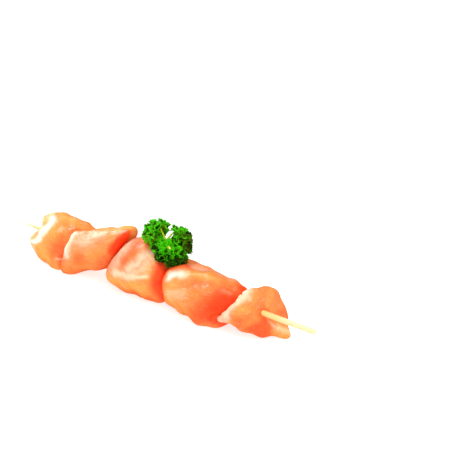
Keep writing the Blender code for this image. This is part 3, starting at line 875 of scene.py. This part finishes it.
# A rod with a tapered point and fine lengthwise grooves, closed at both ends by rows that shrink to the
# axis. The radius of the point is the full radius times a power of the share of the point's length.
def makeStick(look):
    low, high = stickLow[0], stickHigh[0]
    x = np.linspace(low, high, stick["along"])
    rise = np.clip((x - low) / stick["pointLength"], 0, 1)
    radius = np.maximum(stickRadius * rise ** stick["pointPower"], stick["pointRadius"])
    chamfer = stick["chamfer"]
    radius = np.minimum(radius, stickRadius - chamfer + np.sqrt(np.clip(high - x, 0, 1) * chamfer))
    shrink = np.linspace(0.0, 1.0, stick["capRows"] + 1)[1:]
    x = np.concatenate([np.full(len(shrink), low), x, np.full(len(shrink), high)])
    radius = np.concatenate([radius[0] * shrink, radius, radius[-1] * shrink[::-1]])
    angle = np.arange(stick["around"])[None, :] * 360 / stick["around"]
    turn = np.radians(angle)
    y, z = np.cos(turn) + 0 * x[:, None], np.sin(turn) + 0 * x[:, None]
    around = np.stack([x[:, None] + 0 * y, stickRadius * y, stickRadius * z], axis=-1)
    uneven = layeredNoise(around, stick["grooveNoise"]) - 1.0
    radius = radius[:, None] * (1 + stick["groove"] * uneven / stickRadius)
    points = np.stack([x[:, None] + 0 * y, radius * y, radius * z + stickHeight], axis=-1)
    meatStart, meatEnd = (
        float(cutPlace(cut, np.array(stickRadius), np.array(90.0))) for cut in (0, len(chunks))
    )
    # Painted shade beside the meat: full where the meat ends, fading over the reach in the stick table.
    outside = np.maximum(np.maximum(meatStart - x, x - meatEnd), 0)
    nearMeatShade = np.broadcast_to(bell(outside, 0, stick["shadeReach"])[:, None, None], (*y.shape, 1))
    faces = gridFaces(len(x), stick["around"], closedColumns=True)
    values = {"place": points - [0, 0, stickHeight], "nearMeatShade": nearMeatShade}
    settle(makePiece("bambooStick", points, faces, look, values), "stick")


makeStick(makeBambooLook())
print("stick made")


# The parsley

parsley = {
    "heart": (5.6, 0.6, 6.0),  # along the stick, across it, and over the meat
    "sprays": (
        # from the heart, the way it points, how far it opens, leaflets, reach, darkest and lightest, olive
        ((-4.6, 0.6, 2.4), (-0.60, 0.10, 0.79), 70, 26, 9.2, (-0.28, 0.62), 1.0),
        ((5.6, 3.2, 1.6), (0.62, 0.46, 0.64), 74, 25, 9.0, (-0.35, 0.60), 0.35),
        ((4.0, -3.0, -2.7), (0.10, -0.74, 0.66), 84, 27, 7.9, (-0.90, 2.30), 0.3),
        ((9.2, -2.0, -4.2), (0.56, -0.46, 0.68), 86, 18, 7.0, (-0.50, 0.80), 0.1),
        ((-1.6, -0.8, -1.0), (-0.12, -0.80, 0.52), 50, 8, 5.6, (-0.20, 0.60), 0.9),
        ((1.6, 0.2, -1.0), (0.98, 0.10, 0.02), 52, 14, 8.2, (-0.30, 1.50), 0.0),
        ((3.0, 4.4, 3.2), (-0.26, 0.30, 0.92), 34, 5, 4.6, (0.00, 0.60), 1.3),
    ),
    "sunward": (-0.30, -0.04, 0.95),  # the leaflets turned this way are the lightest
    "sideLight": 0.20,  # lightness of a leaflet at right angles to it
    "uneven": {"turn": 0.3, "reach": (0.86, 1.0), "paintedLight": 0.28, "heading": 0.28},
    "inner": 0.74,  # reach of every third leaflet, which sits deeper
    "length": (4.3, 6.0),
    "fan": 200,
    "flatter": 0.20,  # how much shorter the sides of a fan are than its middle
    "narrower": 0.85,  # its width
    "innerEdge": 0.12,  # where a leaflet starts, as a share of its length
    "across": 52,
    "outward": 8,
    "ruffles": (3, 1.25),  # waves round the edge, and their height
    "frills": (9, 0.50),
    "teeth": (14, 0.08),
    "curl": 0.30,
    "thickness": 0.22,
    "clearance": (0.20, 0.05),  # of leaflets and of stalks over the meat
    "stalkSides": 8,
    "stalkSteps": 9,
    "stalks": (0.26, 0.14),  # radius at the start and the end
    "intoLeaflet": 0.25,  # how far a stalk runs on into its leaflet
    "branches": (0.85, 0.50),
    "stem": (0.80, 0.66),
    "stemEnd": (11.4, -8.3, 3.6),  # from the heart
    "stemRoom": 3.0,  # kept clear of leaflets round its end
    "fork": (2.2, -1.2, 2.2),  # where the stalks that show part, from the heart, and where they end
    "forkEnds": ((-2.1, -0.4, 7.6), (4.3, 4.8, 7.0), (8.9, 5.8, 4.4)),
    "forkStalks": (0.62, 0.38),
    "gap": (0.9, 2.9, 3.9),  # the middle of the gap between the sprays, from the heart
    "gapLength": (0.356, 0.671, 0.651),
    "gapWidth": (0.716, 0.252, -0.651),
    "gapRoom": (2.9, 1.6),  # half its length and width
    "gapFold": 1.15,
    "gapMargin": 1.25,  # no leaflet's middle is nearer than this share of the room
    "root": (0.0, 0.6, -2.6),
    "shade": (0.003, 0.022, 0.001, 1),
    "leaf": (0.038, 0.190, 0.001, 1),
    "bright": (0.066, 0.580, 0.002, 1),
    "warm": (0.250, 0.370, 0.001, 1),
    "stalk": (0.480, 0.660, 0.020, 1),
    "stalkShare": 0.85,  # of that colour on a stalk, over leaf green
    "pith": (0.820, 0.600, 0.280, 1),
    "roughness": (0.48, 0.64),
    "bump": (0.5, 0.00012),
    "specular": 0.08,
}
gapAxes = np.array([parsley["gapLength"], parsley["gapWidth"]])


# Leaf green with painted shade and light: dark at the base, bright at the frilled edge, and lighter on
# leaflets that face the light, with paler veins that fan out from the stalk.
def makeParsleyLook():
    look, tree, shader = newLook("parsleyLeaf")
    uv = addNode(tree, "ShaderNodeUVMap", uv_map="leafMap")
    split = addNode(tree, "ShaderNodeSeparateXYZ")
    plug(tree, split.inputs[0], uv.outputs[0])
    across, outward = split.outputs[0], split.outputs[1]
    place = attribute(tree, "place", "Vector")
    patches = useGroup(tree, patchesGroup, place, Size=2.4, Detail=3.0)["Patches"]
    grain = useGroup(tree, patchesGroup, place, Size=0.35, Detail=2.0)["Patches"]
    uneven = times(tree, minus(tree, patches, 0.5), 0.40)
    reach = plus(tree, outward, uneven)
    # Painted shade and light: darker towards a leaflet's base, lighter on leaflets turned to the light.
    paintedLight = attribute(tree, "paintedLight")
    lit = plus(tree, reach, times(tree, paintedLight, 0.4))
    colour = blendColour(tree, remap(tree, lit, 0.60, 1.20), parsley["shade"], parsley["leaf"])
    colour = blendColour(tree, times(tree, attribute(tree, "warm"), 0.75), colour, parsley["warm"])
    tips = plus(tree, reach, times(tree, paintedLight, 0.6))
    colour = blendColour(tree, remap(tree, tips, 0.95, 1.40), colour, parsley["bright"])
    wave = compute(tree, "ABSOLUTE", compute(tree, "SINE", times(tree, across, math.pi * 9)))
    veins = times(tree, remap(tree, wave, 0.0, 0.24, 0.35, 0.0), remap(tree, outward, 1.0, 0.2))
    colour = blendColour(tree, veins, colour, parsley["stalk"])
    colour = blendColour(tree, attribute(tree, "stalk"), colour, parsley["stalk"])
    colour = blendColour(tree, attribute(tree, "pith"), colour, parsley["pith"])
    plug(tree, shader.inputs["Base Color"], colour)
    finishSurface(tree, shader, parsley, grain, minus(tree, grain, veins))
    shader.inputs["Specular IOR Level"].default_value = parsley["specular"]
    return look


# Moves points straight out from the stick until they are clear of the meat.
def layOnMeat(points, clearance):
    y, z = points[..., 1], points[..., 2] - stickHeight
    radius, angle = np.hypot(y, z), np.degrees(np.arctan2(z, y)) % 360
    grown = np.maximum(radius, meatReach(points[..., 0], angle) + clearance) / radius
    return np.stack([points[..., 0], y * grown, z * grown + stickHeight], axis=-1)


def unit(vectors):
    return vectors / np.linalg.norm(vectors, axis=-1, keepdims=True)


# Where a spray's leaflets sit and point: a golden spiral over the cap of a ball round its axis.
def spreadLeaflets(spray, heart, draw):
    start, axis, opening, count, farthest, paintedLightRange, warm = spray
    uneven = parsley["uneven"]
    number = np.arange(count)
    share = (number + 0.5) / count
    tilt = np.arccos(1 - (1 - math.cos(math.radians(opening))) * share)[:, None]
    shift = draw.uniform(-uneven["turn"], uneven["turn"], count)
    around = (2 * math.pi * goldenShare * number + shift)[:, None]
    axis = unit(np.array(axis))
    side = unit(np.cross(axis, [0.0, 1.0, 0.1]))
    outward = np.cos(around) * side + np.sin(around) * np.cross(axis, side)
    heading = np.cos(tilt) * axis + np.sin(tilt) * outward
    length = draw.uniform(*parsley["length"], (count, 1))
    reach = farthest * draw.uniform(*uneven["reach"], (count, 1))
    reach = reach * np.where(number % 3 == 2, parsley["inner"], 1.0)[:, None]
    middle = heart + np.array(start)
    # Painted light: a leaflet is lighter the more it is turned to the light, give or take a little at
    # random.
    lit = parsley["sideLight"] + (heading @ unit(np.array(parsley["sunward"])))[:, None]
    lit = np.clip(lit + draw.uniform(-uneven["paintedLight"], uneven["paintedLight"], (count, 1)), 0, 1)
    return {
        "middle": np.tile(middle, (count, 1)),
        "base": middle + heading * (reach - length),
        "heading": unit(heading + uneven["heading"] * draw.normal(size=heading.shape)),
        "length": length,
        "paintedLight": mix(*paintedLightRange, lit),
        "warm": np.full((count, 1), warm),
    }


# The middles of the leaflets.
def leafletSpots(leaflets):
    return leaflets["base"] + 0.5 * leaflets["length"] * leaflets["heading"]


# How far points are from the middle of the gap, along its length and its width, in shares of half of each.
def gapPlaces(points, heart):
    return (points - heart - parsley["gap"]) @ gapAxes.T / parsley["gapRoom"]


# Folds back what reaches into the gap between the sprays. In shares the gap is a circle of radius 1, and a
# leaflet stays on the side of it that the leaflet's own middle is on.
def clearGap(points, spots, heart):
    place = gapPlaces(points, heart)
    side = unit(gapPlaces(spots, heart))[:, None, None]
    along = np.sum(place * side, axis=-1)
    beside = place[..., 0] * side[..., 1] - place[..., 1] * side[..., 0]
    short = np.sqrt(np.clip(1 - beside**2, 0, None)) - along
    fold = parsley["gapFold"] * np.where(np.abs(beside) < 1, np.maximum(short, 0), 0)
    return points + fold[..., None] * side * parsley["gapRoom"] @ gapAxes


# Curly leaflets: each is a fan whose edge is lifted by slow ruffles and quick frills, both growing outward,
# and cut into small teeth.
def makeLeaflets(look, leaflets, heart, draw):
    count, rows, columns = len(leaflets["base"]), parsley["outward"], parsley["across"]
    heading, length = leaflets["heading"], leaflets["length"][..., None]
    level = unit(np.cross(heading, draw.normal(size=heading.shape)))
    face = np.cross(heading, level)
    across = np.linspace(0, 1, columns)[None, None, :]
    outward = np.linspace(parsley["innerEdge"], 1, rows)[None, :, None]
    start = draw.uniform(0, 2 * math.pi, (2, count))[..., None, None]
    fan = math.radians(parsley["fan"]) * (across - 0.5)
    waves, ruffle = parsley["ruffles"]
    quickWaves, frill = parsley["frills"]
    teeth, toothDepth = parsley["teeth"]
    notches = 1 + toothDepth * outward**3 * np.sin(2 * math.pi * teeth * across)
    edge = length * outward * (1 - parsley["flatter"] * (1 - np.cos(fan))) * notches
    lift = ruffle * outward**1.5 * np.sin(2 * math.pi * waves * across + start[0])
    lift = lift + frill * outward**3 * np.sin(2 * math.pi * quickWaves * across + start[1])
    lift = lift - parsley["curl"] * length * outward**2
    parts = ((edge * np.cos(fan), heading), (edge * np.sin(fan) * parsley["narrower"], level), (lift, face))
    points = sum(size[..., None] * way[:, None, None] for size, way in parts)
    points = clearGap(leaflets["base"][:, None, None] + points, leafletSpots(leaflets), heart)
    points = layOnMeat(points, parsley["clearance"][0])
    uvs = np.stack(np.broadcast_arrays(across, outward + 0 * length), axis=-1)
    each = np.ones((*points.shape[:3], 1))
    values = {
        "place": points,
        "paintedLight": each * leaflets["paintedLight"][:, None, None],
        "warm": each * leaflets["warm"][:, None, None] * draw.uniform(0, 1, (count, 1, 1, 1)) ** 2,
    }
    faces = gridFaces(rows, columns)[None] + (np.arange(count) * rows * columns)[:, None, None]
    piece = makePiece("curlyParsley", points, faces.reshape(-1, 4), look, values, uvs)
    solid = piece.modifiers.new("Thickness", "SOLIDIFY")
    solid.thickness = parsley["thickness"] * mm
    solid.offset = 0.0
    settle(piece, "parsley")


# Bent tubes from starts to ends, bowed by the given ways. The radius goes from the first to the second
# value, and the ends all but close on the axis.
def tubes(starts, ends, bows, radii):
    steps, sides = parsley["stalkSteps"], parsley["stalkSides"]
    share = np.clip(np.linspace(-1, steps, steps + 2) / (steps - 1), 0, 1)[None, :, None]
    line = mix(starts[:, None], ends[:, None], share) + 4 * share * (1 - share) * bows[:, None]
    along = unit(ends - starts)[:, None] + (1 - 2 * share) * bows[:, None] * 0.3
    side = unit(np.cross(along, [0.31, 0.74, 0.59]))  # a way that no stalk runs along
    turn = (np.arange(sides) * 2 * math.pi / sides)[:, None]
    ring = np.cos(turn) * side[:, :, None] + np.sin(turn) * np.cross(unit(along), side)[:, :, None]
    radius = mix(radii[0], radii[1], share)
    radius[:, [0, -1]] = 0.01
    points = line[:, :, None] + radius[..., None] * ring
    cells = gridFaces(steps + 2, sides, closedColumns=True)[None]
    return points, (cells + (np.arange(len(starts)) * (steps + 2) * sides)[:, None, None]).reshape(-1, 4)


# The stem with its pale cut end, a branch to each spray, and a thin stalk to each leaflet.
def makeStalks(look, leaflets, heart, middles):
    root = np.tile(heart + np.array(parsley["root"]), (len(middles), 1))
    stemEnd = heart + np.array(parsley["stemEnd"])
    forkEnds = heart + np.array(parsley["forkEnds"])
    forks = np.tile(heart + np.array(parsley["fork"]), (len(forkEnds), 1))
    stalkEnds = leaflets["base"] + parsley["intoLeaflet"] * leaflets["length"] * leaflets["heading"]
    runs = (
        # starts, ends, how far they bow up, radii
        (leaflets["middle"], stalkEnds, 0.3, parsley["stalks"]),
        (root, middles, 0.8, parsley["branches"]),
        (root[:1], stemEnd[None], 0.6, parsley["stem"]),
        (forks, forkEnds, 0.5, parsley["forkStalks"]),
    )
    allPoints, allFaces, pith, passed = [], [], [], 0
    for starts, ends, bow, radii in runs:
        points, faces = tubes(starts, ends, bow * np.array([[0, 0, 1.0]]) + 0 * starts, radii)
        cut = np.zeros(points.shape[:3])
        cut[:, -1] = radii is parsley["stem"]
        points = layOnMeat(points, parsley["clearance"][1]).reshape(-1, 3)
        allPoints.append(points)
        allFaces.append(faces + passed)
        pith.append(cut.ravel())
        passed += len(points)
    points, faces = np.concatenate(allPoints), np.concatenate(allFaces)
    values = {
        "place": points,
        "stalk": np.full((passed, 1), parsley["stalkShare"]),
        "pith": np.concatenate(pith)[:, None],
    }
    piece = makePiece("parsleyStalks", points, faces, look, values, np.full((passed, 2), 0.5))
    settle(piece, "parsley")


def makeParsley(look):
    draw = np.random.default_rng(5)
    x, y, lift = parsley["heart"]
    heart = np.array([x, y, stickHeight + lift + float(meatReach(np.array(x), np.array(90.0)))])
    sprays = [spreadLeaflets(spray, heart, draw) for spray in parsley["sprays"]]
    middles = np.array([spray["middle"][0] for spray in sprays])
    leaflets = {key: np.concatenate([spray[key] for spray in sprays]) for key in sprays[0]}
    spots = leafletSpots(leaflets)
    clear = np.linalg.norm(spots - heart - parsley["stemEnd"], axis=-1) > parsley["stemRoom"]
    clear &= np.linalg.norm(gapPlaces(spots, heart), axis=-1) > parsley["gapMargin"]
    leaflets = {key: values[clear] for key, values in leaflets.items()}
    makeLeaflets(look, leaflets, heart, draw)
    makeStalks(look, leaflets, heart, middles)
    print("parsley made:", len(leaflets["base"]), "leaflets")


makeParsley(makeParsleyLook())


# Floor, light and camera

studio = {
    "floorSize": 6.0,
    "floorHeight": -0.05,  # in millimetres
    "floorColour": (0.60, 0.60, 0.60, 1),
    "floorPatches": (0.50, 0.50, 0.50, 1),
    "patchShare": 0.02,
    "floorGlow": 0.66,
    "worldColour": (1.0, 1.0, 1.0, 1),
    "worldStrength": 0.84,
    "lights": (
        # name, azimuth, elevation, distance, size, watts, whether it makes highlights
        ("keySoftbox", -100, 32, 0.75, 0.36, 4.4, True),
        ("topSoftbox", 30, 74, 0.80, 0.50, 1.0, True),
        ("fillSoftbox", 105, 24, 0.85, 0.60, 1.3, True),
        ("frontSoftbox", 52, 36, 0.85, 0.60, 2.6, False),
    ),
}

camera = {
    "azimuth": 40.71,
    "elevation": 23.0,
    "distance": 0.70,
    "target": (0.0207, 0.0298, 0.0354),
    "lens": 111.2,
    "sensor": 36.0,
}


# The direction from the object to something seen at an azimuth and an elevation. Azimuth 0 is the front.
def outwardWay(azimuth, elevation):
    a, e = math.radians(azimuth), math.radians(elevation)
    return Vector((math.sin(a) * math.cos(e), -math.cos(a) * math.cos(e), math.sin(e)))


def aimed(thing, target, azimuth, elevation, distance):
    away = outwardWay(azimuth, elevation)
    side = Vector((math.cos(math.radians(azimuth)), math.sin(math.radians(azimuth)), 0))
    thing.matrix_world = Matrix.Translation(Vector(target) + away * distance) @ Matrix(
        (side, away.cross(side), away)
    ).transposed().to_4x4()
    bpy.context.scene.collection.objects.link(thing)
    return thing


def makeFloor():
    half = studio["floorSize"] / 2 / mm
    edge = np.linspace(-half, half, 3)
    points = np.stack([*np.meshgrid(edge, edge), np.full((3, 3), studio["floorHeight"])], axis=-1)
    look, tree, shader = newLook("paleFloor")
    place = addNode(tree, "ShaderNodeTexCoord").outputs["Object"]
    patches = useGroup(tree, patchesGroup, place, Size=0.5, Detail=1.0)["Patches"]
    share = times(tree, patches, studio["patchShare"])
    colour = blendColour(tree, share, studio["floorColour"], studio["floorPatches"])
    plug(tree, shader.inputs["Base Color"], colour)
    glow = {"Emission Color": (1, 1, 1, 1), "Emission Strength": studio["floorGlow"]}
    setSockets(shader, {"Roughness": 0.7, **glow})
    floor = makePiece("paleFloor", points, gridFaces(3, 3), look, {})
    floor.visible_glossy = False  # the room and floor fill the shadows without a grey sheen on the meat


def makeLights():
    for name, azimuth, elevation, distance, size, watts, shiny in studio["lights"]:
        lamp = bpy.data.lights.new(name, "AREA")
        lamp.shape = "DISK"
        lamp.size = size
        lamp.energy = watts
        softbox = aimed(bpy.data.objects.new(name, lamp), (0, 0, 0.015), azimuth, elevation, distance)
        softbox.visible_glossy = shiny
    world = bpy.data.worlds.new("paleRoom")
    world.use_nodes = True
    glow = {"Color": studio["worldColour"], "Strength": studio["worldStrength"]}
    setSockets(world.node_tree.nodes["Background"], glow)
    world.cycles_visibility.glossy = False
    bpy.context.scene.world = world


def makeCamera():
    lens = bpy.data.cameras.new("photoCamera")
    lens.lens, lens.sensor_width = camera["lens"], camera["sensor"]
    lens.clip_start, lens.clip_end = 0.01, 50
    eye = bpy.data.objects.new("photoCamera", lens)
    bpy.context.scene.camera = aimed(
        eye, camera["target"], camera["azimuth"], camera["elevation"], camera["distance"]
    )


makeFloor()
makeLights()
makeCamera()
bpy.context.scene.view_settings.view_transform = "Standard"
bpy.context.scene.view_settings.look = "None"
print("studio set up")
